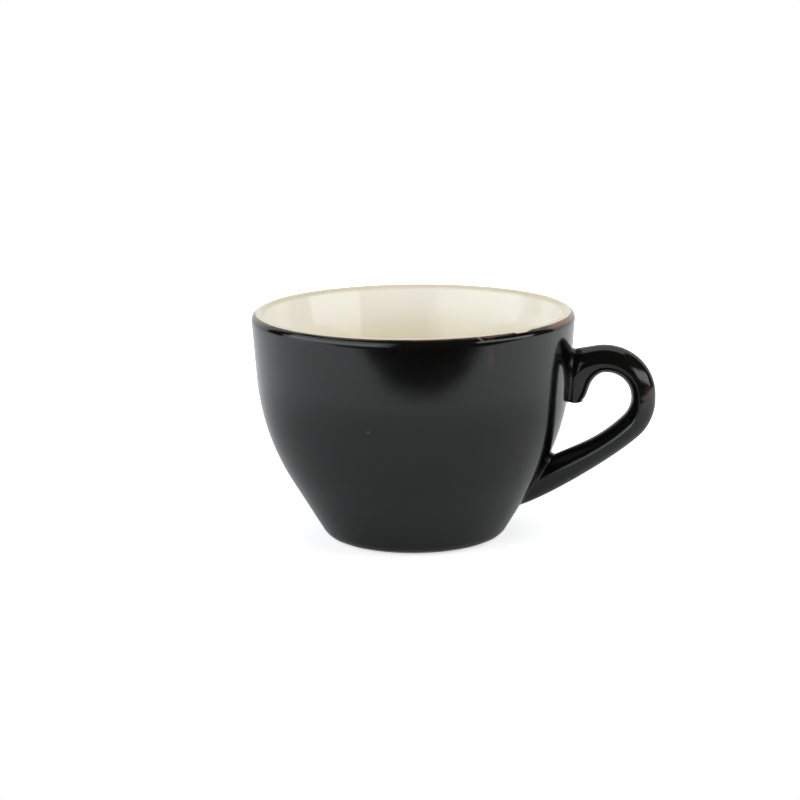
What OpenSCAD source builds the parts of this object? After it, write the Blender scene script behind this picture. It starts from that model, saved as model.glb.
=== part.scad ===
/* [Cup] */
// Height from the table to the top of the lip
cup_h = 65.7; // [60:0.1:72]
// Diameter of the upper wall, carried straight up to the lip's top
rim_d = 92.3; // [86:0.1:98]
// Diameter where the straight flank, carried down, would meet the table
base_d = 49.5; // [45:0.1:54]
// Angle of the upper wall from upright
wall_lean = 4.1; // [3:0.1:5.5]
// Angle of the lower flank from upright
flank_lean = 31.2; // [29:0.1:33]
// Radius of the belly, where flank turns into wall
belly_r = 67; // [55:0.5:72]
// Rounding of the heel, where flank turns into foot
heel_r = 6; // [4.5:0.1:7]

/* [Wall] */
// Thickness of the upper wall with its glaze
wall_t = 3.3; // [3.1:0.05:4]
// Thickness of the lower flank with its glaze
flank_t = 4.2; // [3.8:0.05:5]
// Thickness of the floor in the middle with its glaze
floor_t = 4.8; // [4:0.1:6]
// Rounding inside, where floor turns into flank
floor_r = 14; // [10:0.5:18]
// Outer rounding of the lip
lip_out_r = 2.1; // [1.6:0.05:2.1]
// Inner rounding of the lip
lip_in_r = 0.9; // [0.6:0.05:0.9]

/* [Foot] */
// Depth of the recess under the floor
recess_h = 2; // [1.4:0.1:3]
// Width of the flat ring that stands on the table
foot_w = 3; // [2.4:0.1:4]
// Rounding between the recess and its rim
recess_r = 1.5; // [1:0.1:2]
// Height above the table up to which the foot was wiped clean of glaze
wipe_h = 1.1; // [0.8:0.1:1.5]

/* [Glaze] */
// Thickness of each coat of glaze
glaze_t = 0.35; // [0.25:0.05:0.5]
// Height of the glossy band under the lip
rim_band_h = 2.8; // [2.5:0.1:6]
// How far the cream liner runs over the lip, as an angle past its top
liner_turn = 25; // [10:1:45]

/* [Handle] */
// Radius of the round top of the finger hole
loop_r = 7.4; // [6.6:0.1:8]
// Distance from the wall out to the middle of the finger hole's round top
hole_out = 10.9; // [10.5:0.1:12]
// Drop from the lip to the middle of the finger hole's round top
hole_drop = 25; // [23.5:0.1:26.5]
// Thickness of the arch where it leaves its root, hole side to outside
arch_t = 7.4; // [6.5:0.1:8.5]
// Thickness of the arm where the arch ends
arm_t = 6.3; // [5.8:0.1:7.5]
// Width of the arch and the arm across
arm_w = 9.2; // [8:0.1:10.5]
// Radius of the hole side of the lower bend
elbow_r = 8; // [7:0.1:10]
// Angle through which the arm turns into the leg
bend_turn = 46; // [41:0.5:51]
// Thickness of the leg where the bend ends
leg_t = 6.8; // [6:0.1:8]
// Height above the table at which the leg's upper side meets the flank
leg_top_z = 22.6; // [21:0.1:25]
// Height above the table at which the leg's lower side meets the flank
leg_low_z = 8.6; // [7.5:0.1:10.5]
// Width of the leg across at its root
leg_root_w = 8.8; // [7.5:0.1:10]
// Width of the arch across at its root
arch_root_w = 10; // [9:0.1:11.5]
// Width of the spur across at its lower end
spur_w = 7; // [6:0.1:8]
// Rounding of the spur's lower end
spur_r = 0.6; // [0.4:0.1:1]
// Thickness of the slip that bonds each root to the wall
slip_t = 0.8; // [0.6:0.05:1.2]

/* [Hidden] */
$fn = 144;

clay_colour = "#cfc6b4";
slip_colour = "#2a2825";
cream_colour = "#e5e2d1";
satin_colour = "#1c1c1b";
gloss_colour = "#141313";

// How far a root runs into the wall before it is trimmed
root_bury = 2.4;
// Overrun of every cutting zone
overrun = 5;
// Flat left on top of the lip between its two roundings
lip_flat = 0.1;
// Rounding of the foot ring's inner edge
foot_edge_r = 0.6;
// Lap of a rounding over the straight part, as a share of its radius
lap_share = 0.02;

// Shape of the handle's section: 1 gives straight facets, 2 an ellipse
ridge_power = 1.4;
edge_power = 1.95;
// Place of the side ridge between the hole side and the outside
arch_ridge_share = 0.42;
arm_ridge_share = 0.3;
leg_ridge_share = 0.45;
// Angle around the hole at which the arch leaves its root
arch_start = 100;
// Heading of the leg's upper and lower sides as they meet the flank
leg_top_heading = 26.5;
leg_low_heading = 6;
// Pull of the leg's curves, as shares of the leg's length
leg_top_pull_share = [0.4, 0.44];
leg_low_pull_share = [0.2, 0.18];
// Control points of the upper root: x from the wall in shares of hole_out, z in shares of the arch's rise
spur_in_shares = [[0.375, -0.05], [0.53, 0.075], [0.415, 0.37]];
spur_ridge_shares = [[0.15, -0.035], [0.065, 0.39], [-0.01, 0.63]];
spur_out_shares = [[-0.165, 0], [-0.51, 0.97], [-0.125, 0.88]];
// The root is widest at this share of its length
root_widest_share = 0.62;
// Rounded lower end of the spur: how much of the section is left, and how far down it lies
tip_size_share = [0.7, 0.88, 1];
tip_drop_share = [1, 0.62, 0];

// Stations along the handle, and points in a quarter of its section
root_steps = 12;
arch_steps = 10;
bend_steps = 8;
leg_steps = 12;
quarter_steps = 5;

// Radius of the straight flank and of the straight wall at height z, moved in by inset
function flank_at(z, inset) = base_d / 2 + z * tan(flank_lean) - inset / cos(flank_lean);
function wall_at(z, inset) = rim_d / 2 - (cup_h - z) * tan(wall_lean) - inset / cos(wall_lean);

// Height at which a flank and a wall with these insets cross
function belly_z(flank_in, wall_in) =
    (wall_at(0, wall_in) - flank_at(0, flank_in)) / (tan(flank_lean) - tan(wall_lean));
function belly_point(flank_in, wall_in) =
    let (z = belly_z(flank_in, wall_in)) [wall_at(z, wall_in), z];

// The belly's radius, or as much of it as heel, lip and floor leave room for
belly_turn = flank_lean - wall_lean;
heel_reach = heel_r * tan((90 - flank_lean) / 2);
floor_reach = floor_r * tan((90 - flank_lean) / 2);
floor_z = recess_h + floor_t;
belly_room = min(
    belly_z(0, 0) / cos(flank_lean) - heel_reach,
    (cup_h - 2 * lip_out_r - belly_z(0, 0)) / cos(wall_lean),
    (belly_z(flank_t, wall_t) - floor_z) / cos(flank_lean) - floor_reach);
belly_fit_r = min(belly_r, belly_room / tan(belly_turn / 2));

// Outer radius of the cup at height z, moved in by inset
function belly_reach(inset) = (belly_fit_r - inset) * tan(belly_turn / 2);
function side_at(z, inset) =
    let (p = belly_point(inset, inset), low = p.y - belly_reach(inset) * cos(flank_lean),
        high = p.y + belly_reach(inset) * cos(wall_lean), r = belly_fit_r - inset,
        mid_x = wall_at(high, inset) - r * cos(wall_lean), mid_z = high + r * sin(wall_lean))
    z < low ? flank_at(z, inset)
    : z > high ? wall_at(z, inset)
    : mid_x + sqrt(r * r - (z - mid_z) * (z - mid_z));

// A closed outline whose corners are rounded by true arcs: points run anticlockwise
function mix(a, b, t) = a + (b - a) * t;
function unit(v) = v / norm(v);
function turned(a, b) = a.x * b.y - a.y * b.x;
function corner(points, radii, i) =
    let (n = len(points), p = points[i], back = unit(points[(i + n - 1) % n] - p),
        ahead = unit(points[(i + 1) % n] - p), half = acos(back * ahead) / 2,
        reach = radii[i] / tan(half))
    [p + reach * back, p + reach * ahead, p + unit(back + ahead) * radii[i] / sin(half),
        turned(ahead, back) > 0];

// The arc's segment, which laps over its chord towards the arc's middle
module corner_segment(points, radii, i) {
    c = corner(points, radii, i);
    intersection() {
        polygon([c[0], points[i], c[1], mix((c[0] + c[1]) / 2, c[2], lap_share)]);
        translate(c[2]) circle(radii[i], $fn = 720);
    }
}

module rounded_outline(points, radii) {
    last = len(points) - 1;
    difference() {
        union() {
            polygon([for (i = [0:last], end = [0:radii[i] > 0 ? 1 : 0])
                radii[i] > 0 ? corner(points, radii, i)[end] : points[i]]);
            for (i = [0:last])
                if (radii[i] > 0 && corner(points, radii, i)[3]) corner_segment(points, radii, i);
        }
        for (i = [0:last])
            if (radii[i] > 0 && !corner(points, radii, i)[3]) corner_segment(points, radii, i);
    }
}

// Half section of the cup: coat is the depth below the glazed surface
heel_x = base_d / 2;
foot_in = heel_x - heel_reach - foot_w;
foot_mid = foot_in + foot_w / 2;
lip_inner = min(lip_in_r, wall_t - lip_out_r - lip_flat);

module cup_outline(coat) {
    top = cup_h - coat;
    wall_in = wall_t - coat;
    flank_in = flank_t - coat;
    floor_top = floor_z - coat;
    rounded_outline(
        [[0, recess_h + coat], [foot_in - recess_h + coat, recess_h + coat], [foot_in + coat, 0],
            [heel_x - coat / cos(flank_lean), 0], belly_point(coat, coat), [wall_at(top, coat), top],
            [wall_at(top, wall_in), top], belly_point(flank_in, wall_in),
            [flank_at(floor_top, flank_in), floor_top], [0, floor_top]],
        [0, recess_r + coat, foot_edge_r, heel_r - coat, belly_fit_r - coat, lip_out_r - coat,
            lip_inner - coat, belly_fit_r - (wall_in + flank_in) / 2, floor_r + coat, 0]);
}

// Half section of everything inside the outer surface, moved in by inset
module side_outline(inset) {
    rounded_outline([[0, 0], [flank_at(0, inset), 0], belly_point(inset, inset),
        [wall_at(cup_h, inset), cup_h], [0, cup_h]], [0, 0, belly_fit_r - inset, 0, 0]);
}

module coat_outline() {
    difference() {
        cup_outline(0);
        cup_outline(glaze_t);
    }
}

// The zone of the liner: above the middle of the floor, inside the middle of the wall
module liner_zone() {
    lip_z = cup_h - lip_out_r;
    lip_x = wall_at(lip_z, lip_out_r);
    mid_floor = recess_h + floor_t / 2;
    rounded_outline([[0, mid_floor], [flank_at(mid_floor, flank_t / 2), mid_floor],
        belly_point(flank_t / 2, wall_t / 2), [wall_at(lip_z, wall_t / 2), lip_z], [lip_x, lip_z],
        [lip_x + (lip_out_r + overrun) * tan(liner_turn), cup_h + overrun], [0, cup_h + overrun]],
        [0, 0, belly_fit_r - (flank_t + wall_t) / 4, 0, 0, 0, 0]);
}

module zone(x_low, x_high, z_low, z_high) {
    translate([x_low, z_low]) square([x_high - x_low, z_high - z_low]);
}

// The handle: three rails in its middle plane and a half width at every station
function polar(c, r, a) = c + r * [cos(a), sin(a)];
function bezier(p, t) =
    let (s = 1 - t) s * s * s * p[0] + 3 * s * s * t * p[1] + 3 * s * t * t * p[2] + t * t * t * p[3];

hole_z = cup_h - hole_drop;
hole_mid = [side_at(hole_z, 0) + hole_out, hole_z];
bend_mid = hole_mid + [loop_r - elbow_r, 0];

function root_point(share) =
    let (z = hole_z + share.y * (loop_r + arch_t)) [side_at(z, 0) + share.x * hole_out, z];
function root_rail(shares, end) = [for (s = shares) root_point(s), end];

function arch_station(a) =
    let (rise = a / arch_start, thick = mix(arm_t, arch_t, rise),
        share = mix(arm_ridge_share, arch_ridge_share, rise))
    [polar(hole_mid, loop_r, a), polar(hole_mid, loop_r + share * thick, a),
        polar(hole_mid, loop_r + thick, a), arm_w / 2];

function bend_station(t) =
    let (a = -bend_turn * t, thick = mix(arm_t, leg_t, t), share = mix(arm_ridge_share, leg_ridge_share, t))
    [polar(bend_mid, elbow_r, a), polar(bend_mid, elbow_r + share * thick, a),
        polar(bend_mid, elbow_r + thick, a), arm_w / 2];

function root_station(t) =
    let (start = arch_station(arch_start),
        grow = min(t / root_widest_share, 1), fall = max(t - root_widest_share, 0) / (1 - root_widest_share),
        width = mix(mix(spur_w, arch_root_w, sin(90 * grow)), arm_w, (1 - cos(180 * fall)) / 2))
    [bezier(root_rail(spur_in_shares, start[0]), t), bezier(root_rail(spur_ridge_shares, start[1]), t),
        bezier(root_rail(spur_out_shares, start[2]), t), width / 2];

// A leg rail leaves the bend along its heading and meets the flank along its own
function leg_rail(from, z, heading, pull) =
    let (to = [side_at(z, 0), z] - root_bury * [cos(heading), sin(heading)], l = norm(to - from),
        leave = 90 - bend_turn)
    [from, from - l * pull[0] * [cos(leave), sin(leave)], to + l * pull[1] * [cos(heading), sin(heading)], to];

function leg_station(t) =
    let (start = bend_station(1),
        inner = bezier(leg_rail(start[0], leg_top_z, leg_top_heading, leg_top_pull_share), t),
        outer = bezier(leg_rail(start[2], leg_low_z, leg_low_heading, leg_low_pull_share), t))
    [inner, mix(inner, outer, leg_ridge_share), outer, mix(arm_w, leg_root_w, t) / 2];

upper_root = [for (k = [0:root_steps - 1]) root_station(k / root_steps)];
arch = [for (k = [0:arch_steps - 1]) arch_station(arch_start * (1 - k / arch_steps))];
bend = [for (k = [0:bend_steps - 1]) bend_station(k / bend_steps)];
leg = [for (k = [0:leg_steps]) leg_station(k / leg_steps)];

// A quarter of the section: [towards the rail, towards the side], both 0 to 1
function quarter(a) = [pow(cos(a), 2 / ridge_power), pow(sin(a), 2 / edge_power)];
quarter_shape = [for (k = [0:quarter_steps]) quarter(90 * k / quarter_steps)];

// One ring round the handle, moved out by coat: size shrinks it, drop lowers it
function ring_point(s, rail, q, side, coat, size, drop) =
    let (to_rail = rail - s[1], place = s[1] + unit(to_rail) * (norm(to_rail) + coat) * q.x * size)
    [place.x, side * (s[3] + coat) * q.y * size, place.y - drop];

function ring(s, coat, size = 1, drop = 0) =
    let (q = quarter_shape, n = quarter_steps)
    [for (k = [0:n]) ring_point(s, s[0], q[k], 1, coat, size, drop),
        for (k = [n - 1:-1:0]) ring_point(s, s[2], q[k], 1, coat, size, drop),
        for (k = [1:n]) ring_point(s, s[2], q[k], -1, coat, size, drop),
        for (k = [n - 1:-1:1]) ring_point(s, s[0], q[k], -1, coat, size, drop)];

function tip_rings(coat) =
    [for (k = [0:len(tip_size_share) - 2])
        ring(upper_root[0], coat, tip_size_share[k], spur_r * tip_drop_share[k] + coat)];

function handle_rings(coat) =
    [each tip_rings(coat), for (s = concat(upper_root, arch, bend, leg)) ring(s, coat)];

// Triangles of a tube of rings, and of the lid on its first or last ring
function tube_faces(count, size, start, flip) =
    [for (i = [0:count - 2], j = [0:size - 1])
        let (a = start + i * size + j, b = start + i * size + (j + 1) % size, c = a + size, d = b + size)
        each flip ? [[a, b, c], [b, d, c]] : [[a, c, b], [b, c, d]]];

function lid_faces(size, start, flip) =
    [for (j = [1:size - 2]) flip ? [start, start + j + 1, start + j] : [start, start + j, start + j + 1]];

module tube(rings) {
    size = len(rings[0]);
    count = len(rings);
    polyhedron([for (r = rings) each r], concat(tube_faces(count, size, 0, false),
        lid_faces(size, 0, false), lid_faces(size, (count - 1) * size, true)));
}

// A skin between two tubes, closed over the first ring and open at the last
module tube_skin(outer, inner) {
    size = len(outer[0]);
    count = len(outer);
    total = count * size;
    rim = total - size;
    polyhedron([for (r = concat(outer, inner)) each r],
        concat(tube_faces(count, size, 0, false), lid_faces(size, 0, false),
            tube_faces(count, size, total, true), lid_faces(size, total, true),
            [for (j = [0:size - 1]) let (k = (j + 1) % size)
                each [[rim + j, total + rim + j, rim + k], [rim + k, total + rim + j, total + rim + k]]]));
}

module upper_plug() tube([each tip_rings(0), for (s = concat(upper_root, [arch[0]])) ring(s, 0)]);

module lower_plug() tube([for (k = [leg_steps / 2:leg_steps]) ring(leg[k], 0)]);

// Everything round is turned from the side opposite the handle
module revolve() rotate([0, 0, 180]) rotate_extrude() children();

module slip_shell() {
    revolve() difference() {
        side_outline(glaze_t - slip_t);
        side_outline(glaze_t);
    }
}

module clay_bowl() {
    color(clay_colour) revolve() cup_outline(glaze_t);
}

module clay_handle() {
    color(clay_colour) difference() {
        tube(handle_rings(0));
        revolve() side_outline(glaze_t - slip_t);
    }
}

module upper_slip_joint() {
    color(slip_colour) intersection() {
        slip_shell();
        upper_plug();
    }
}

module lower_slip_joint() {
    color(slip_colour) intersection() {
        slip_shell();
        lower_plug();
    }
}

module liner_glaze() {
    color(cream_colour) revolve() intersection() {
        coat_outline();
        liner_zone();
    }
}

module rim_glaze() {
    color(gloss_colour) revolve() difference() {
        intersection() {
            coat_outline();
            zone(foot_mid, rim_d, cup_h - rim_band_h, cup_h + overrun);
        }
        liner_zone();
    }
}

module body_glaze() {
    color(satin_colour) difference() {
        revolve() difference() {
            intersection() {
                coat_outline();
                zone(foot_mid, rim_d, wipe_h, cup_h - rim_band_h);
            }
            liner_zone();
        }
        upper_plug();
        lower_plug();
    }
}

module recess_glaze() {
    color(satin_colour) revolve() intersection() {
        coat_outline();
        zone(0, foot_mid, wipe_h, recess_h + floor_t / 2);
    }
}

module handle_glaze() {
    color(gloss_colour) difference() {
        tube_skin(handle_rings(glaze_t), handle_rings(0));
        revolve() side_outline(0);
    }
}

clay_bowl();
clay_handle();
upper_slip_joint();
lower_slip_joint();
liner_glaze();
rim_glaze();
body_glaze();
recess_glaze();
handle_glaze();
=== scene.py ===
from math import acos, ceil, cos, hypot, pi, radians, sin, sqrt, tan
import bmesh
import bpy
from mathutils import Matrix, Vector
from mathutils.bvhtree import BVHTree


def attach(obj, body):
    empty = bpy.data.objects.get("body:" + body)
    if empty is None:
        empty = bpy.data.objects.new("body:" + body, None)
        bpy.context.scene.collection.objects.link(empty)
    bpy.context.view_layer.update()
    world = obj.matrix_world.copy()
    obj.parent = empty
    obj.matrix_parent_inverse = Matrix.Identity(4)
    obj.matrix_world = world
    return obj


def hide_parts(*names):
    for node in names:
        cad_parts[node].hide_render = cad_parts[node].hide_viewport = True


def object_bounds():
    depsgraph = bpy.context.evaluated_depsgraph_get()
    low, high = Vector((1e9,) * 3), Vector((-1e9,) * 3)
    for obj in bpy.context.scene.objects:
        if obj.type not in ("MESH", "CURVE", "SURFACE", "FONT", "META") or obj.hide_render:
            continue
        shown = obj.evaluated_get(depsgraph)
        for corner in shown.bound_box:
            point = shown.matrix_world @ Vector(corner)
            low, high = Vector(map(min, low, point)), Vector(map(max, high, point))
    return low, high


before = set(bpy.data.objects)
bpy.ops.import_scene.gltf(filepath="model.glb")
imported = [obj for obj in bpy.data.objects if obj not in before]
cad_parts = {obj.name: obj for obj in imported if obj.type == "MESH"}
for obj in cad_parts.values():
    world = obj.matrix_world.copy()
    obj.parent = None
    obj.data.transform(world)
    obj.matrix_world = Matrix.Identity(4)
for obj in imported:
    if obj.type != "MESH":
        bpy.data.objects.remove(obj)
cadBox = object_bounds()
mm = 0.001


# Shader maths: a socket whose operators add Math nodes

class Wire:
    def __init__(self, paint, socket):
        self.paint = paint
        self.socket = socket

    def calc(self, operation, *others):
        return self.paint.node("ShaderNodeMath", {"operation": operation}, dict(enumerate((self, *others))))

    def __add__(self, other):
        return self.calc("ADD", other)

    def __sub__(self, other):
        return self.calc("SUBTRACT", other)

    def __rsub__(self, other):
        return self.paint.node("ShaderNodeMath", {"operation": "SUBTRACT"}, {0: other, 1: self})

    def __mul__(self, other):
        return self.calc("MULTIPLY", other)

    def __truediv__(self, other):
        return self.calc("DIVIDE", other)

    def __pow__(self, other):
        return self.calc("POWER", other)

    __radd__ = __add__

    # 0 below low, 1 above high, smooth between
    def ramp(self, low, high):
        return self.paint.node("ShaderNodeMapRange", {"interpolation_type": "SMOOTHSTEP", "clamp": True},
                               {"Value": self, "From Min": low, "From Max": high})


class Paint:
    def __init__(self, name):
        self.material = bpy.data.materials.new(name)
        self.material.use_nodes = True
        self.tree = self.material.node_tree
        self.tree.nodes.clear()
        self.place = self.node("ShaderNodeTexCoord", {}, {}, "Object")

    def node(self, kind, settings, inputs, output=0):
        node = self.tree.nodes.new(kind)
        for key, value in settings.items():
            setattr(node, key, value)
        for key, value in inputs.items():
            if isinstance(value, Wire):
                self.tree.links.new(value.socket, node.inputs[key])
            else:
                node.inputs[key].default_value = value
        return Wire(self, node.outputs[output])

    # Noise with features about size millimetres across
    def noise(self, size, detail, roughness=0.5):
        return self.node("ShaderNodeTexNoise", {"noise_dimensions": "3D"},
                         {"Vector": self.place, "Scale": 1 / (size * mm), "Detail": detail,
                          "Roughness": roughness}, "Fac")

    def mixed(self, share, low, high):
        return self.node("ShaderNodeMix", {"data_type": "RGBA"}, {0: share, 6: low, 7: high}, 2)

    def axes(self):
        return [self.node("ShaderNodeSeparateXYZ", {}, {0: self.place}, axis) for axis in "XYZ"]

    def bumped(self, height, depth, before=None):
        inputs = {"Height": height, "Distance": depth * mm, "Strength": 1.0}
        if before:
            inputs["Normal"] = before
        return self.node("ShaderNodeBump", {}, inputs)

    def finish(self, values):
        shader = self.node("ShaderNodeBsdfPrincipled", {}, values)
        return self.shaded(shader)

    def shaded(self, shader):
        out = self.tree.nodes.new("ShaderNodeOutputMaterial")
        self.tree.links.new(shader.socket, out.inputs["Surface"])
        return self.material


def linear(red, green, blue):
    shades = [c / 255 for c in (red, green, blue)]
    return (*[c / 12.92 if c <= 0.04045 else ((c + 0.055) / 1.055) ** 2.4 for c in shades], 1)


# Meshes

def unit(v):
    return v.normalized()


def between(a, b, share):
    return a + (b - a) * share


# A path through corners (x, z, rounding), with true arcs and points every step
def roundedPath(corners, step):
    path = [Vector(corners[0][:2])]

    def straight(end):
        start = path[-1]
        count = max(1, ceil((end - start).length / step))
        path.extend(between(start, end, k / count) for k in range(1, count + 1))

    for before, corner, after in zip(corners, corners[1:], corners[2:]):
        point, radius = Vector(corner[:2]), corner[2]
        back, ahead = unit(Vector(before[:2]) - point), unit(Vector(after[:2]) - point)
        half = acos(back.dot(ahead)) / 2
        turn = pi - 2 * half
        straight(point + back * radius / tan(half))
        centre = point + unit(back + ahead) * radius / sin(half)
        low, high = path[-1] - centre, point + ahead * radius / tan(half) - centre
        count = max(4, ceil(radius * turn / step))
        for k in range(1, count + 1):
            share = k / count
            path.append(centre + (low * sin((1 - share) * turn) + high * sin(share * turn)) / sin(turn))
    straight(Vector(corners[-1][:2]))
    return path


# The path before and after the first place where level changes its sign
def splitPath(path, level):
    for k in range(1, len(path) - 1):
        a, b = level(path[k]), level(path[k + 1])
        if a * b < 0:
            middle = between(path[k], path[k + 1], a / (a - b))
            return path[:k + 1] + [middle], [middle] + path[k + 1:]
    raise ValueError("the path doesn't cross that level")


def newObject(name, bm, material, smooth=True):
    bmesh.ops.scale(bm, vec=(mm, mm, mm), verts=bm.verts)
    mesh = bpy.data.meshes.new(name)
    bm.to_mesh(mesh)
    bm.free()
    for polygon in mesh.polygons:
        polygon.use_smooth = smooth
    piece = bpy.data.objects.new(name, mesh)
    bpy.context.scene.collection.objects.link(piece)
    mesh.materials.append(material)
    return piece


spinning = {
    "steps": 216,          # faces round the cup
    "step": 0.8,           # millimetres between points of a path
    "merge": 0.0005,       # points closer than this become one
    "sag": 0.08,           # how much lower the rim is at front and back than at the sides
    "sagPower": 3,
}


# Turns a path round the cup's axis, and gives it a wall on its inner side
def turnedPiece(name, path, material, thickness=0.0):
    bm = bmesh.new()
    ends = bmesh.ops.create_vert(bm, co=(path[0].x, 0, path[0].y))["vert"]
    for point in path[1:]:
        made = bmesh.ops.extrude_vert_indiv(bm, verts=ends)
        ends = made["verts"]
        ends[0].co = (point.x, 0, point.y)
    bmesh.ops.spin(bm, geom=bm.verts[:] + bm.edges[:], cent=(0, 0, 0), axis=(0, 0, 1), angle=2 * pi,
                   steps=spinning["steps"], use_merge=True)
    bmesh.ops.remove_doubles(bm, verts=bm.verts, dist=spinning["merge"])
    sagging(bm)
    facing(bm, path)
    for edge in bm.edges:
        edge.smooth = not edge.is_boundary
    piece = newObject(name, bm, material)
    if thickness:
        wall = piece.modifiers.new("wall", "SOLIDIFY")
        wall.thickness = thickness * mm
        wall.offset = -1
    return piece


# A thrown rim is never quite flat
def sagging(bm):
    for vert in bm.verts:
        x, y, z = vert.co
        across = y * y / max(x * x + y * y, 1e-9)
        vert.co.z = z - spinning["sag"] * across * (z / cup["height"]) ** spinning["sagPower"]


# The path runs with the outside on its right hand, so its faces have to look there
def facing(bm, path):
    bm.normal_update()
    bm.faces.ensure_lookup_table()
    face = max(bm.faces, key=lambda f: f.calc_area())
    place = face.calc_center_median()
    away = unit(Vector((place.x, place.y, 0)))
    spot = Vector((hypot(place.x, place.y), place.z))
    k = min(range(len(path) - 1), key=lambda i: ((path[i] + path[i + 1]) / 2 - spot).length)
    along = path[k + 1] - path[k]
    right = away * along.y + Vector((0, 0, -along.x))
    if face.normal.dot(right) < 0:
        bmesh.ops.reverse_faces(bm, faces=bm.faces)


# Joins rings of points into a tube
def loft(rings, capStart=False, capEnd=False):
    bm = bmesh.new()
    ring = bmesh.ops.create_circle(bm, cap_ends=False, radius=1, segments=len(rings[0]))["verts"]
    edges = bm.edges[:]
    for vert, place in zip(ring, rings[0]):
        vert.co = place
    if capStart:
        bmesh.ops.contextual_create(bm, geom=edges)
    for places in rings[1:]:
        made = bmesh.ops.extrude_edge_only(bm, edges=edges)["geom"]
        fresh = {v for v in made if isinstance(v, bmesh.types.BMVert)}
        edges = [e for e in made if isinstance(e, bmesh.types.BMEdge)]
        ring = [next(e.other_vert(v) for e in v.link_edges if e.other_vert(v) in fresh) for v in ring]
        for vert, place in zip(ring, places):
            vert.co = place
    if capEnd:
        bmesh.ops.contextual_create(bm, geom=edges)
    bmesh.ops.recalc_face_normals(bm, faces=bm.faces)
    return bm


# The cup: sizes in millimetres, outside of the glaze

cup = {
    "height": cadBox[1][2] / mm,
    "rim": 46.145,         # radius of the wall, carried up to the lip's top, just inside the CAD rim
    "base": 24.75,         # radius of the flank, carried down to the table
    "wallLean": radians(4.1),
    "flankLean": radians(31.2),
    "belly": 67,           # radius of the bend between flank and wall
    "heel": 6,             # and of the one between foot and flank
    "wall": 3.3,           # thickness, with the glaze on both sides
    "flank": 4.2,
    "floor": 4.8,
    "floorRound": 14,
    "lipOut": 2.1,         # radius of the lip on its outside
    "lipIn": 1.3,
    "lipLean": radians(13),  # the inside leans more just below the lip, where the wall thins
    "lipFade": 5.5,          # half the depth over which that lean fades
    "fadeShare": 0.8,        # of the largest rounding that fits there
    "recess": 2,           # depth of the hollow under the foot
    "foot": 3,             # width of the foot ring
    "recessRound": 1.5,
    "footEdge": 0.6,
    "wipe": 1.1,           # the glaze is wiped off up to this height
    "glaze": 0.35,
    "band": 2.8,           # depth of the gloss band over the lip
    "linerTurn": radians(25),  # where the cream ends on the lip, from its highest line
}


def wallAt(z, inset):
    lean = cup["wallLean"]
    return cup["rim"] - (cup["height"] - z) * tan(lean) - inset / cos(lean)


def flankAt(z, inset):
    lean = cup["flankLean"]
    return cup["base"] + z * tan(lean) - inset / cos(lean)


def bellyPoint(flankIn, wallIn):
    z = (wallAt(0, wallIn) - flankAt(0, flankIn)) / (tan(cup["flankLean"]) - tan(cup["wallLean"]))
    return wallAt(z, wallIn), z


# Outer radius of the cup at height z
def sideAt(z):
    turn = cup["flankLean"] - cup["wallLean"]
    reach = cup["belly"] * tan(turn / 2)
    x, middle = bellyPoint(0, 0)
    low, high = middle - reach * cos(cup["flankLean"]), middle + reach * cos(cup["wallLean"])
    if z < low:
        return flankAt(z, 0)
    if z > high:
        return wallAt(z, 0)
    centre = Vector((wallAt(high, 0), high))
    centre += cup["belly"] * Vector((-cos(cup["wallLean"]), sin(cup["wallLean"])))
    return centre.x + sqrt(cup["belly"] ** 2 - (z - centre.y) ** 2)


# The cup's section from the middle of the recess, round the lip, to the middle of the floor
def cupPath(coat):
    wallIn, flankIn = cup["wall"] - coat, cup["flank"] - coat
    top, floorTop = cup["height"] - coat, cup["recess"] + cup["floor"] - coat
    fade, lean = cup["lipFade"], cup["lipLean"]
    thicker = fade * (tan(lean) - tan(cup["wallLean"])) * cos(cup["wallLean"])
    fadeRound = fade / cos(lean) / tan((lean - cup["wallLean"]) / 2)
    heelReach = cup["heel"] * tan((pi / 2 - cup["flankLean"]) / 2)
    footIn = cup["base"] - heelReach - cup["foot"]
    recess = cup["recess"] + coat
    belly = cup["belly"]
    return roundedPath([
        (0, recess),
        (footIn - cup["recess"] + coat, recess, cup["recessRound"] + coat),
        (footIn + coat, 0, cup["footEdge"]),
        (cup["base"] - coat / cos(cup["flankLean"]), 0, cup["heel"] - coat),
        (*bellyPoint(coat, coat), belly - coat),
        (wallAt(top, coat), top, cup["lipOut"] - coat),
        (wallAt(top, wallIn), top, cup["lipIn"] - coat),
        (wallAt(top, wallIn) - fade * tan(lean), top - fade, fadeRound * cup["fadeShare"]),
        (*bellyPoint(flankIn, wallIn + thicker), belly - (wallIn + flankIn) / 2),
        (flankAt(floorTop, flankIn), floorTop, cup["floorRound"] + coat),
        (0, floorTop),
    ], spinning["step"])


# Materials of the cup: a noise is its size in millimetres, its detail and, where given, its roughness

# A glaze over its colour, with slow waves, fine grain and a slightly uneven gloss
def glazed(paint, coat, colour, broad, fine, rougher=0, under=None):
    roughness = coat["roughness"] + rougher + (broad - 0.5) * coat["roughSpread"]
    waves = paint.bumped(broad, coat["waves"], paint.bumped(fine, coat["grain"], under))
    return paint.finish({"Base Color": colour, "Roughness": roughness, "Normal": waves, "IOR": coat["ior"]})


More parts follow.
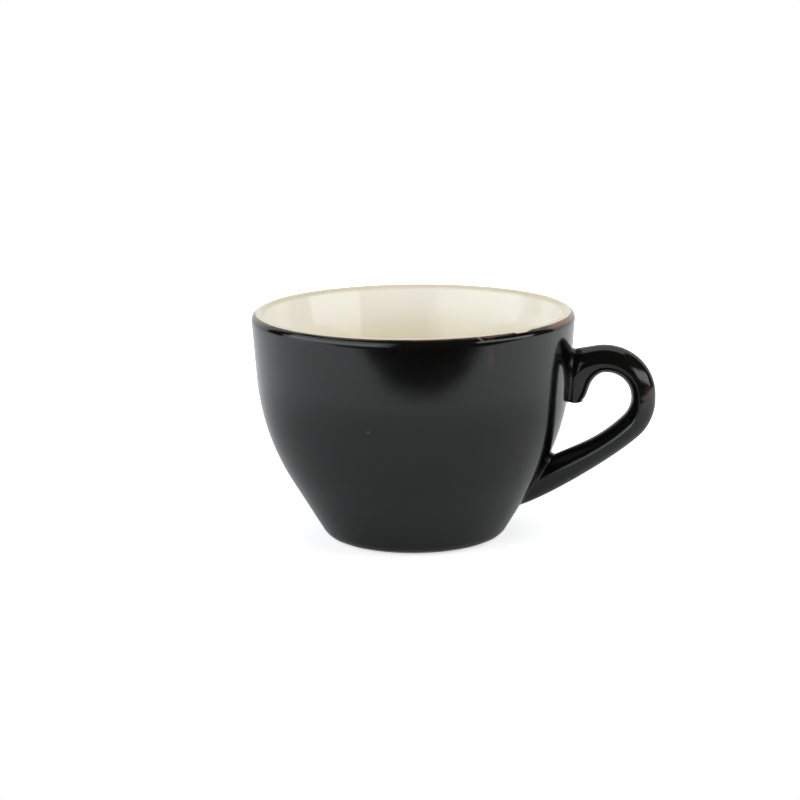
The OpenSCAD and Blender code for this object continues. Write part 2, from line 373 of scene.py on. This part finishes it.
satin = {
    "black": (0.0016, 0.0016, 0.0015, 1),
    "broken": linear(62, 44, 30),
    "streak": linear(84, 52, 40),
    "speck": linear(132, 130, 124),
    "roughness": 0.12,
    "roughSpread": 0.04,
    "ior": 1.5,
    "waves": 0.03,         # depth of the bumps, in millimetres
    "grain": 0.0015,
    "broadNoise": (9, 3),
    "fineNoise": (0.7, 3),
    "raggedNoise": (3, 3),
    "footHigh": 2.2,       # the glaze breaks to brown below this height
    "footFade": 1.4,
    "footClouds": (0.35, 0.6),  # but only where the broad noise is this high
    "footShare": 0.4,
    "runX": 23.3,          # a run of thin glaze below the lip, left of the handle
    "runTop": 62.5,
    "runTopFade": 1,
    "runFoot": 54,
    "runFade": 5,
    "runClouds": (-0.35, 0.1),
    "runWidth": (0.2, 1.2),
    "runShare": 0.22,
    "pitCell": 5,          # one pit at most in each cell of this size
    "pitRadius": 0.16,
    "pitSoft": 1.6,        # its edge fades out at this many radii
    "pitLuck": 0.16,       # the share of the cells that show theirs
    "pitShare": 0.5,
    "pitRough": 0.3,
}


# A small pit in every cell is too many, so only some cells show theirs
def specks(paint, size, radius, soft, share):
    inputs = {"Vector": paint.place, "Scale": 1 / (size * mm), "Randomness": 1.0}
    away = paint.node("ShaderNodeTexVoronoi", {"feature": "F1"}, inputs, "Distance")
    cell = paint.node("ShaderNodeTexVoronoi", {"feature": "F1"}, inputs, "Color")
    luck = paint.node("ShaderNodeSeparateColor", {}, {0: cell}, "Red")
    return (1 - away.ramp(radius / size, soft * radius / size)) * luck.calc("LESS_THAN", share)


def satinGlaze():
    paint = Paint("satinGlaze")
    broad, fine = paint.noise(*satin["broadNoise"]), paint.noise(*satin["fineNoise"])
    x, y, z = [axis / mm for axis in paint.axes()]
    ragged = paint.noise(*satin["raggedNoise"]) - 0.5
    low = (satin["footHigh"] - z).ramp(0, satin["footFade"])
    foot = low * broad.ramp(*satin["footClouds"]) * satin["footShare"]
    across = (x - satin["runX"] + ragged).calc("ABSOLUTE")
    along = z.ramp(satin["runFoot"], satin["runFoot"] + satin["runFade"])
    along = along * (satin["runTop"] - z).ramp(0, satin["runTopFade"])
    run = (1 - across.ramp(*satin["runWidth"])) * along * y.calc("LESS_THAN", 0)
    run = run * ragged.ramp(*satin["runClouds"])
    pits = specks(paint, satin["pitCell"], satin["pitRadius"], satin["pitSoft"], satin["pitLuck"])
    colour = paint.mixed(foot, satin["black"], satin["broken"])
    colour = paint.mixed(run * satin["runShare"], colour, satin["streak"])
    colour = paint.mixed(pits * satin["pitShare"], colour, satin["speck"])
    return glazed(paint, satin, colour, broad, fine, rougher=pits * satin["pitRough"])


gloss = {
    "black": (0.004, 0.0036, 0.0033, 1),
    "brown": linear(104, 70, 44),
    "olive": linear(74, 62, 42),
    "rust": linear(118, 62, 44),
    "beige": linear(206, 194, 176),
    "roughness": 0.12,
    "roughSpread": 0.04,
    "ior": 1.5,
    "waves": 0.05,         # depth of the bumps, in millimetres
    "grain": 0.002,
    "broadNoise": (6, 3),
    "fineNoise": (0.9, 3),
    "raggedNoise": (2.2, 3),
    "creamEdge": 0.24,     # depth below the lip's top at which the cream ends
    "creamSoft": (-0.08, 0.04),
    "edgeWobble": 0.4,
    "wobbleNoise": (7, 3),
    "thinEdge": 0.8,       # depth at which the black is thick enough to hide the clay
    "thinClouds": (0.42, 0.6),
    "thinShare": 0.5,
    "sliverX": 20.9,       # a crack of paler glaze across the lip
    "sliverZ": 64.6,
    "sliverSlant": 1.3,
    "sliverRagged": 0.4,
    "sliverWidth": (0.25, 0.55),
    "sliverDepth": (1.0, 1.6),
    "sliverShare": 0.15,
    "patchX": 23.4,        # a rusty patch beside it
    "patchWidth": (0.7, 1.5),
    "patchDepth": (1.2, 2.0),
    "patchShare": 0.12,
    "dipX": 29,            # the cream reaches further down from here on
    "dipLong": 5.5,
    "dipFades": (1.5, 2),  # at its left and its right end
    "dipDeep": 0.4,
    "rightX": 37.5,        # the lip is brown beyond these
    "leftX": -38.5,
    "sideFade": 3,
    "rightDepth": (0.7, 1.6),
    "leftDepth": (0.5, 1.2),
}


def lipGlaze():
    paint = Paint("lipGlaze")
    broad, fine = paint.noise(*gloss["broadNoise"]), paint.noise(*gloss["fineNoise"])
    ragged, wobble = paint.noise(*gloss["raggedNoise"]) - 0.5, paint.noise(*gloss["wobbleNoise"]) - 0.5
    x, y, z = [axis / mm for axis in paint.axes()]
    down = cup["height"] - z + wobble * gloss["edgeWobble"]
    front = y.calc("LESS_THAN", 0)

    # 1 at the lip's top, 0 below the second of these two depths
    def above(depths):
        return 1 - down.ramp(*depths)

    thin = above((gloss["creamEdge"], gloss["thinEdge"]))
    right = x.ramp(gloss["rightX"], gloss["rightX"] + gloss["sideFade"])
    left = (0 - x).ramp(-gloss["leftX"], gloss["sideFade"] - gloss["leftX"])
    fromPatch = (x - gloss["patchX"] + ragged).calc("ABSOLUTE")
    patch = (1 - fromPatch.ramp(*gloss["patchWidth"])) * front
    slant = (z - gloss["sliverZ"]) * gloss["sliverSlant"]
    fromSliver = (x - gloss["sliverX"] + slant + ragged * gloss["sliverRagged"]).calc("ABSOLUTE")
    sliver = (1 - fromSliver.ramp(*gloss["sliverWidth"])) * front
    dipLeft, dipRight = gloss["dipX"], gloss["dipX"] + gloss["dipLong"]
    dip = x.ramp(dipLeft, dipLeft + gloss["dipFades"][0]) * (dipRight - x).ramp(0, gloss["dipFades"][1])
    soft = [gloss["creamEdge"] + step for step in gloss["creamSoft"]]
    cover = 1 - (down - dip * gloss["dipDeep"]).ramp(*soft)

    thinly = thin * broad.ramp(*gloss["thinClouds"]) * gloss["thinShare"]
    colour = paint.mixed(thinly, gloss["black"], gloss["brown"])
    colour = paint.mixed(right * above(gloss["rightDepth"]), colour, gloss["brown"])
    colour = paint.mixed(left * above(gloss["leftDepth"]), colour, gloss["olive"])
    colour = paint.mixed(patch * above(gloss["patchDepth"]) * gloss["patchShare"], colour, gloss["rust"])
    colour = paint.mixed(sliver * above(gloss["sliverDepth"]) * gloss["sliverShare"], colour, gloss["beige"])
    # the cream at the lip's top takes the darker thin colour: thinner glaze there, and painted shade
    colour = paint.mixed(cover, colour, cream["thin"])
    return glazed(paint, gloss, colour, broad, fine)


gripGlaze = {
    "roughness": 0.14,
    "roughSpread": 0.05,
    "ior": 1.5,
    "waves": 0.07,
    "grain": 0.002,
    "broadNoise": (5, 3),
    "fineNoise": (0.9, 3),
    "raggedNoise": (1.8, 3),
    "thumbX": 67.2,        # worn brown on the outside of the arm
    "thumbZ": 42.6,
    "thumbRagged": 2.4,
    "thumbWidth": (0.6, 2.8),
    "thumbShare": 0.12,
    "faintNoise": (8, 3),  # brown in clouds all over
    "faintClouds": (0.58, 0.72),
    "faintShare": 0.02,
}


def handleGloss():
    paint = Paint("handleGlaze")
    broad, fine = paint.noise(*gripGlaze["broadNoise"]), paint.noise(*gripGlaze["fineNoise"])
    ragged = paint.noise(*gripGlaze["raggedNoise"]) - 0.5
    x, _, z = [axis / mm for axis in paint.axes()]
    away = ((x - gripGlaze["thumbX"]) ** 2 + (z - gripGlaze["thumbZ"]) ** 2) ** 0.5
    worn = 1 - (away + ragged * gripGlaze["thumbRagged"]).ramp(*gripGlaze["thumbWidth"])
    clouds = paint.noise(*gripGlaze["faintNoise"]).ramp(*gripGlaze["faintClouds"])
    brown = worn * gripGlaze["thumbShare"] + clouds * gripGlaze["faintShare"]
    colour = paint.mixed(brown, gloss["black"], gloss["brown"])
    return glazed(paint, gripGlaze, colour, broad, fine)


cream = {
    "pale": linear(230, 226, 215),
    "warm": linear(229, 219, 198),  # deeper down
    "thin": linear(198, 187, 162),  # on the lip: thinner glaze over the clay, and painted shade on the lip's up-facing top
    "warmDepth": (6, 15),
    "warmShare": 0.8,      # the rest of the mix is cloudy
    # painted shade on the lip's top, fading out between these depths below it
    "lipShadeDepth": (0.3, 1.6),
    "roughness": 0.05,
    "roughSpread": 0.03,
    "ior": 1.42,
    "waves": 0.03,         # depth of the bumps, in millimetres
    "grain": 0.001,
    "broadNoise": (14, 4),
    "fineNoise": (1.1, 3),
    "thicker": 2.6,        # the wall looks this much thicker further down
    "thickTop": -3.5,      # between these depths below the lip's top
    "thickFoot": 25.5,
}


def creamGlaze():
    paint = Paint("creamGlaze")
    cloud, fine = paint.noise(*cream["broadNoise"]), paint.noise(*cream["fineNoise"])
    depth = cup["height"] - paint.axes()[2] / mm
    taper = paint.bumped(depth.ramp(cream["thickTop"], cream["thickFoot"]), cream["thicker"])
    deep = depth.ramp(*cream["warmDepth"]) * cream["warmShare"] + cloud * (1 - cream["warmShare"])
    colour = paint.mixed(deep, cream["pale"], cream["warm"])
    # painted shade: the cream is darker at the lip's top, besides the glaze being thinner there
    colour = paint.mixed(depth.ramp(*cream["lipShadeDepth"]), cream["thin"], colour)
    return glazed(paint, cream, colour, cloud, fine, under=taper)


stoneware = {
    "light": linear(206, 192, 168),
    "dark": linear(150, 132, 108),
    "grainNoise": (0.5, 4, 0.6),
    "sandNoise": (2.4, 3),
    "sandShare": 0.4,
    "shades": (0.35, 0.65),  # all dark below the first value of the mixed noise, all light above the second
    "roughness": 0.78,
    "roughSpread": 0.2,
    "grain": 0.03,
}


def bareClay():
    paint = Paint("bareStoneware")
    grain, sand = paint.noise(*stoneware["grainNoise"]), paint.noise(*stoneware["sandNoise"])
    shade = grain * (1 - stoneware["sandShare"]) + sand * stoneware["sandShare"]
    roughness = stoneware["roughness"] + (grain - 0.5) * stoneware["roughSpread"]
    colour = paint.mixed(shade.ramp(*stoneware["shades"]), stoneware["dark"], stoneware["light"])
    bumps = paint.bumped(grain, stoneware["grain"])
    return paint.finish({"Base Color": colour, "Roughness": roughness, "Normal": bumps})


slip = {
    "light": linear(84, 76, 66),
    "dark": linear(42, 38, 34),
    "grainNoise": (0.35, 3, 0.6),
    "smearNoise": (3, 2),
    "shades": (0.4, 0.7),
    "roughness": 0.6,
    "roughSpread": 0.3,
    "grain": 0.02,
}


def firedSlip():
    paint = Paint("firedSlip")
    grain, smear = paint.noise(*slip["grainNoise"]), paint.noise(*slip["smearNoise"])
    shade = (grain + smear) / 2
    roughness = slip["roughness"] + (smear - 0.5) * slip["roughSpread"]
    colour = paint.mixed(shade.ramp(*slip["shades"]), slip["dark"], slip["light"])
    bumps = paint.bumped(grain, slip["grain"])
    return paint.finish({"Base Color": colour, "Roughness": roughness, "Normal": bumps})


# Pieces of the cup

outside = cupPath(0)
lipZ = cup["height"] - cup["lipOut"]
lipX = wallAt(lipZ, cup["lipOut"])
recessPath, rest = splitPath(outside, lambda p: p.y - cup["wipe"])
rest = splitPath(rest, lambda p: p.y - cup["wipe"])[1]  # the foot ring stays bare
bodyPath, rest = splitPath(rest, lambda p: p.y - cup["height"] + cup["band"])
rimPath, linerPath = splitPath(rest, lambda p: p.x - lipX - (p.y - lipZ) * tan(cup["linerTurn"]))

clay = bareClay()
bowl = turnedPiece("thrownBowl", cupPath(cup["glaze"]), clay)
liner = turnedPiece("creamLiner", linerPath, creamGlaze(), cup["glaze"])
rim = turnedPiece("glossRim", rimPath, lipGlaze(), cup["glaze"])
body = turnedPiece("satinBody", bodyPath, satinGlaze(), cup["glaze"])
recess = turnedPiece("recessGlaze", recessPath, body.data.materials[0], cup["glaze"])
for piece, node, slot in ((bowl, "clay_bowl", "clay"), (liner, "liner_glaze", "cream_glaze"),
                          (rim, "rim_glaze", "gloss_glaze"), (body, "body_glaze", "satin_glaze"),
                          (recess, "recess_glaze", "satin_glaze")):
    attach(piece, "root")
    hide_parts(node)
print("cup turned")


# The handle: three rails in its middle plane, in millimetres

handle = {
    "hole": 7.4,           # radius of the finger hole's round part
    "holeOut": 10.885,     # its middle, from the cup's side
    "holeDrop": 25,        # and below the lip's top
    "archThick": 7.4,
    "armThick": 6.3,
    "armWide": 9.2,
    "bend": 8,             # radius on the inside of the bend
    "bendTurn": radians(46),
    "legThick": 6.8,
    "legTop": 22.6,        # heights at which the leg's two sides meet the flank
    "legLow": 8.6,
    "legRootWide": 8.8,
    "archRootWide": 10,
    "spurWide": 7,
    "spurRound": 0.6,
    "bury": 2.4,           # the leg runs on this far into the wall
    "archRidge": 0.42,     # place of the ridge, as a share of the thickness
    "armRidge": 0.3,
    "legRidge": 0.45,
    "archStart": radians(100),
    "topHeading": radians(26.5),
    "lowHeading": radians(6),
    "topPull": (0.4, 0.44),  # how far the leg's curves are pulled, as shares of its length
    "lowPull": (0.2, 0.18),
    # shares of holeOut and of the arch's height over the hole's middle, from the spur up
    "spurIn": ((0.375, -0.05), (0.53, 0.075), (0.415, 0.37)),
    "spurRidge": ((0.15, -0.035), (0.065, 0.39), (-0.01, 0.63)),
    "spurOut": ((-0.165, 0), (-0.51, 0.97), (-0.125, 0.88)),
    "widestShare": 0.62,
    "ridgePower": 1.4,     # below 2 the section has a ridge
    "edgePower": 1.95,
    "around": 48,          # points round the section
    "stations": (26, 24, 18, 26),
    "tips": 5,             # rings that close the spur
    "tipFull": 0.55,       # the first of them is this share of the section
    "tipGrow": 0.45,       # and they grow by the rest
}

holeZ = cup["height"] - handle["holeDrop"]
holeMiddle = Vector((sideAt(holeZ) + handle["holeOut"], holeZ))
bendMiddle = holeMiddle + Vector((handle["hole"] - handle["bend"], 0))


def polar(centre, radius, angle):
    return centre + Vector((cos(angle), sin(angle))) * radius


def bezier(p, t):
    s = 1 - t
    return p[0] * s ** 3 + p[1] * (3 * s * s * t) + p[2] * (3 * s * t * t) + p[3] * t ** 3


# The hole side, the ridge and the outside at one angle of a bend, and half the width
def turnStation(middle, inner, thick, ridge, angle):
    rails = [polar(middle, inner + reach, angle) for reach in (0, ridge * thick, thick)]
    return (*rails, handle["armWide"] / 2)


def archStation(angle):
    rise = angle / handle["archStart"]
    thick = between(handle["armThick"], handle["archThick"], rise)
    ridge = between(handle["armRidge"], handle["archRidge"], rise)
    return turnStation(holeMiddle, handle["hole"], thick, ridge, angle)


def bendStation(t):
    thick = between(handle["armThick"], handle["legThick"], t)
    ridge = between(handle["armRidge"], handle["legRidge"], t)
    return turnStation(bendMiddle, handle["bend"], thick, ridge, -handle["bendTurn"] * t)


def rootRail(shares, end, t):
    rise = handle["hole"] + handle["archThick"]
    points = []
    for out, up in shares:
        z = holeZ + up * rise
        points.append(Vector((sideAt(z) + out * handle["holeOut"], z)))
    return bezier([*points, end], t)


def rootStation(t):
    start = archStation(handle["archStart"])
    widest = handle["widestShare"]
    grow, fall = min(t / widest, 1), max(t - widest, 0) / (1 - widest)
    wide = between(handle["spurWide"], handle["archRootWide"], sin(pi / 2 * grow))
    width = between(wide, handle["armWide"], (1 - cos(pi * fall)) / 2)
    return (rootRail(handle["spurIn"], start[0], t), rootRail(handle["spurRidge"], start[1], t),
            rootRail(handle["spurOut"], start[2], t), width / 2)


def legRail(start, z, heading, pull, t):
    ahead = Vector((cos(heading), sin(heading)))
    end = Vector((sideAt(z), z)) - ahead * handle["bury"]
    length = (end - start).length
    leave = pi / 2 - handle["bendTurn"]
    return bezier([start, start - Vector((cos(leave), sin(leave))) * length * pull[0],
                   end + ahead * length * pull[1], end], t)


def legStation(t):
    start = bendStation(1)
    inner = legRail(start[0], handle["legTop"], handle["topHeading"], handle["topPull"], t)
    outer = legRail(start[2], handle["legLow"], handle["lowHeading"], handle["lowPull"], t)
    return (inner, between(inner, outer, handle["legRidge"]), outer,
            between(handle["armWide"], handle["legRootWide"], t) / 2)


# One ring round the handle: full is how much of the section is left, drop lowers it
def handleRing(station, full=1.0, drop=0.0):
    inner, ridge, outer, half = station
    ring = []
    for k in range(handle["around"]):
        angle = 2 * pi * k / handle["around"]
        rail = inner if cos(angle) > 0 else outer
        away = abs(cos(angle)) ** (2 / handle["ridgePower"])
        side = abs(sin(angle)) ** (2 / handle["edgePower"]) * (1 if sin(angle) > 0 else -1)
        reach = (rail - ridge).length + cup["glaze"]
        place = ridge + unit(rail - ridge) * reach * away * full
        ring.append(Vector((place.x, side * (half + cup["glaze"]) * full, place.y - drop)))
    return ring


def handleRings():
    rootSteps, archSteps, bendSteps, legSteps = handle["stations"]
    rings = []
    for k in range(handle["tips"]):
        angle = pi / 2 * k / handle["tips"]
        drop = handle["spurRound"] * cos(angle) + cup["glaze"]
        rings.append(handleRing(rootStation(0), handle["tipFull"] + handle["tipGrow"] * sin(angle), drop))
    stations = [rootStation(k / rootSteps) for k in range(rootSteps)]
    stations += [archStation(handle["archStart"] * (1 - k / archSteps)) for k in range(archSteps)]
    stations += [bendStation(k / bendSteps) for k in range(bendSteps)]
    stations += [legStation(k / legSteps) for k in range(legSteps + 1)]
    return rings + [handleRing(station) for station in stations]


handleGlaze = handleGloss()
grip = newObject("pulledHandle", loft(handleRings(), capStart=True, capEnd=True), handleGlaze)
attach(grip, "root")
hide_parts("handle_glaze")
print("handle drawn")


# Glaze pools where the handle meets the wall, so both roots have a soft inner corner

pooling = {
    "upperZ": 47.5,        # a height inside each root
    "lowerZ": 16,
    "upperRadius": 0.7,
    "lowerRadius": 1,
    "around": 96,          # points round a root
    "arc": 8,              # faces across the pool
    "sink": 0.02,          # its edges lie this deep in the glaze
    "step": 0.2,           # of the search for the corner, then halved so many times
    "halvings": 20,
    "probe": 0.05,
}


def onSide(place):
    out = hypot(place.x, place.y)
    radius = sideAt(place.z)
    return Vector((place.x * radius / out, place.y * radius / out, place.z))


def sideNormal(place):
    step = pooling["probe"]
    slope = (sideAt(place.z + step) - sideAt(place.z - step)) / (2 * step)
    out = hypot(place.x, place.y)
    return unit(Vector((place.x / out, place.y / out, -slope)))


# How far a place lies outside the handle, and the handle's normal beside it
def outsideBy(surface, place):
    near, normal, _, _ = surface.find_nearest(place)
    return (place - near).dot(normal), normal


# Where the way from centre along heading leaves the handle on the cup's side
def corner(surface, centre, heading):
    high = pooling["step"]
    while outsideBy(surface, onSide(centre + heading * high))[0] < 0:
        high += pooling["step"]
    low = high - pooling["step"]
    for _ in range(pooling["halvings"]):
        middle = (low + high) / 2
        if outsideBy(surface, onSide(centre + heading * middle))[0] > 0:
            high = middle
        else:
            low = middle
    place = onSide(centre + heading * high)
    return place, outsideBy(surface, place)[1]


# The hollow that a ball leaves when it rolls round the corner
def glazePool(name, centreZ, radius, surface):
    centre = Vector((sideAt(centreZ), 0, centreZ))
    up = unit(sideNormal(centre).cross(Vector((0, -1, 0))))
    balls = []
    for k in range(pooling["around"]):
        angle = 2 * pi * k / pooling["around"]
        heading = Vector((0, 1, 0)) * cos(angle) + up * sin(angle)
        place, handleNormal = corner(surface, centre, heading)
        wallNormal = sideNormal(place)
        balls.append(place + (handleNormal + wallNormal) * radius / (1 + handleNormal.dot(wallNormal)))
    smooth = [(balls[k - 1] + balls[k] * 2 + balls[(k + 1) % len(balls)]) / 4 for k in range(len(balls))]
    touches = []
    for ball in smooth:
        near = surface.find_nearest(ball)[0]
        touches.append((ball, unit(near - ball), -sideNormal(ball)))
    rows = []
    for k in range(pooling["arc"] + 1):
        share = k / pooling["arc"]
        row = []
        for ball, toHandle, toWall in touches:
            turn = toHandle.angle(toWall)
            way = (toHandle * sin((1 - share) * turn) + toWall * sin(share * turn)) / sin(turn)
            row.append(ball + way * (radius + pooling["sink"] * (2 * share - 1) ** 2))
        rows.append(row)
    piece = newObject(name, loft(rows), handleGlaze)
    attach(piece, "root")


def meshTree(piece):
    verts = [v.co / mm for v in piece.data.vertices]
    return BVHTree.FromPolygons(verts, [p.vertices[:] for p in piece.data.polygons])


gripTree = meshTree(grip)
glazePool("upperRootPool", pooling["upperZ"], pooling["upperRadius"], gripTree)
glazePool("lowerRootPool", pooling["lowerZ"], pooling["lowerRadius"], gripTree)
print("roots pooled")

bond = firedSlip()
for node, surface in (("clay_handle", clay), ("upper_slip_joint", bond), ("lower_slip_joint", bond)):
    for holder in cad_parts[node].material_slots:
        holder.material = surface


# Floor, lights and camera

studio = {
    "floorFront": -0.18,   # metres from the cup; the white sheet ends here, before the camera
    "floorBack": 2.4,
    "floorSide": 1.6,
    "floorTurn": radians(9),
    "paintedShadeNear": (0.63, 0.63, 0.63, 1),  # painted shade: the floor's colour is darker close to the cup, where the cup shades it
    "farShade": (0.95, 0.95, 0.95, 1),
    # metres from the cup over which the painted shade fades into the far shade
    "paintedShadeRing": (0.09, 0.23),
    "floorGlow": 0.62,     # what the camera sees of the floor is lifted to white, least beside the cup
    "glowRing": (0.08, 0.3),
    "sheetBack": 0.9,      # a white backdrop stands this far behind the cup
    "sheetHigh": 2,
    "backShade": (1, 1, 1, 1),
    "roomShade": (0.02, 0.02, 0.02, 1),  # the room as the glazes mirror it
    "fillShade": (0.46, 0.46, 0.46, 1),
    "daylight": (0.92, 0.97, 1),
}


def paleFloor():
    bm = bmesh.new()
    bmesh.ops.create_grid(bm, x_segments=1, y_segments=1, size=1)
    middle = (studio["floorBack"] + studio["floorFront"]) / 2
    half = (studio["floorBack"] - studio["floorFront"]) / 2
    for vert in bm.verts:
        vert.co = Vector((vert.co.x * studio["floorSide"], vert.co.y * half + middle, 0)) / mm
    turn = Matrix.Rotation(studio["floorTurn"], 3, "Z")
    bmesh.ops.rotate(bm, cent=(0, 0, 0), matrix=turn, verts=bm.verts)
    paint = Paint("paleFloor")
    seen = paint.node("ShaderNodeLightPath", {}, {}, "Is Camera Ray")
    x, y, _ = paint.axes()
    away = (x * x + y * y) ** 0.5
    # painted shade: the floor's colour is darker near the cup and lighter further away
    shade = paint.mixed(away.ramp(*studio["paintedShadeRing"]), studio["paintedShadeNear"], studio["farShade"])
    dull = paint.node("ShaderNodeBsdfDiffuse", {}, {"Color": shade})
    strength = studio["floorGlow"] + away.ramp(*studio["glowRing"]) * (1 - studio["floorGlow"])
    glow = paint.node("ShaderNodeEmission", {}, {"Strength": strength})
    both = paint.node("ShaderNodeAddShader", {}, {0: dull, 1: glow})
    material = paint.shaded(paint.node("ShaderNodeMixShader", {}, {0: seen, 1: dull, 2: both}))
    newObject("paleFloor", bm, material, smooth=False)


# A white backdrop, seen by the camera and in the gloss
def paleBackdrop():
    bm = bmesh.new()
    bmesh.ops.create_grid(bm, x_segments=1, y_segments=1, size=1)
    for vert in bm.verts:
        vert.co = Vector((vert.co.x * studio["floorSide"], studio["sheetBack"],
                          (vert.co.y + 1) * studio["sheetHigh"] / 2)) / mm
    paint = Paint("paleBackdrop")
    seen = paint.node("ShaderNodeLightPath", {}, {}, "Is Camera Ray")
    mirrored = paint.node("ShaderNodeLightPath", {}, {}, "Is Glossy Ray")
    dull = paint.node("ShaderNodeBsdfDiffuse", {}, {"Color": studio["farShade"]})
    glow = paint.node("ShaderNodeEmission", {}, {"Strength": 1})
    shown = seen.calc("MAXIMUM", mirrored)
    material = paint.shaded(paint.node("ShaderNodeMixShader", {}, {0: shown, 1: dull, 2: glow}))
    newObject("paleBackdrop", bm, material, smooth=False)


cupMiddle = Vector((0, 0, cup["height"] * mm / 2))


# The way out from the cup; azimuth turns from the front to the handle's side
def outward(azimuth, elevation):
    return Vector((sin(azimuth) * cos(elevation), -cos(azimuth) * cos(elevation), sin(elevation)))


lamps = {
    "leftSoftbox": {"azimuth": radians(-56), "elevation": radians(30), "size": (1.1, 0.62), "watts": 3.4},
    "leftEdge": {"azimuth": radians(-55), "elevation": radians(12), "size": (1.4, 0.42), "watts": 2.2},
    "rightWindow": {"azimuth": radians(72), "elevation": radians(17), "size": (0.66, 0.26), "watts": 1.5,
                    "distance": 0.8, "roll": radians(-12)},
    "rightFill": {"azimuth": radians(77), "elevation": radians(40), "size": (0.62, 0.4), "watts": 2.3,
                  "distance": 0.8, "colour": (1, 1, 1), "mirrored": False},
    "topBack": {"azimuth": radians(178), "elevation": radians(79), "size": (1, 0.32), "watts": 1.25,
                "distance": 0.8},
}


def softLight(name, azimuth, elevation, size, watts, distance=0.75, colour=studio["daylight"], roll=0,
              mirrored=True):
    lamp = bpy.data.lights.new(name, "AREA")
    lamp.shape = "RECTANGLE"
    lamp.size, lamp.size_y = size
    lamp.energy = watts
    lamp.color = colour
    light = bpy.data.objects.new(name, lamp)
    light.visible_glossy = mirrored
    away = outward(azimuth, elevation)
    light.location = cupMiddle + away * distance
    aim = (-away).to_track_quat("-Z", "Y").to_matrix() @ Matrix.Rotation(roll, 3, "Z")
    light.rotation_euler = aim.to_euler()
    bpy.context.scene.collection.objects.link(light)


# White to the camera, dark to the glazes, grey to everything else
def whiteRoom():
    world = bpy.data.worlds.new("whiteRoom")
    bpy.context.scene.world = world
    world.use_nodes = True
    nodes, links = world.node_tree.nodes, world.node_tree.links
    nodes.clear()
    path, out = nodes.new("ShaderNodeLightPath"), nodes.new("ShaderNodeOutputWorld")
    last = None
    for shade, ray in (("fillShade", None), ("roomShade", "Is Glossy Ray"), ("backShade", "Is Camera Ray")):
        light = nodes.new("ShaderNodeBackground")
        light.inputs["Color"].default_value = studio[shade]
        if ray:
            mix = nodes.new("ShaderNodeMixShader")
            links.new(path.outputs[ray], mix.inputs[0])
            links.new(last.outputs[0], mix.inputs[1])
            links.new(light.outputs[0], mix.inputs[2])
            light = mix
        last = light
    links.new(last.outputs[0], out.inputs[0])


shot = {
    "azimuth": radians(3.5),
    "elevation": radians(12.41),
    "distance": 0.8,
    "lens": 125.55,
    "roll": radians(0.52),
    "sensor": 36,
    "shift": (-0.0177, 0.0281),
    "near": 0.01,
}


def photoCamera():
    camera = bpy.data.objects.new("photoCamera", bpy.data.cameras.new("photoCamera"))
    bpy.context.scene.collection.objects.link(camera)
    away = outward(shot["azimuth"], shot["elevation"])
    turn = (-away).to_track_quat("-Z", "Y").to_matrix().to_4x4()
    camera.matrix_world = (Matrix.Translation(cupMiddle + away * shot["distance"]) @ turn
                           @ Matrix.Rotation(-shot["roll"], 4, "Z"))
    camera.data.sensor_width = shot["sensor"]
    camera.data.lens = shot["lens"]
    camera.data.shift_x, camera.data.shift_y = shot["shift"]
    camera.data.clip_start = shot["near"]
    bpy.context.scene.camera = camera


paleFloor()
paleBackdrop()
whiteRoom()
for name, lamp in lamps.items():
    softLight(name, **lamp)
photoCamera()
bpy.context.scene.view_settings.view_transform = "Standard"
print("studio lit")
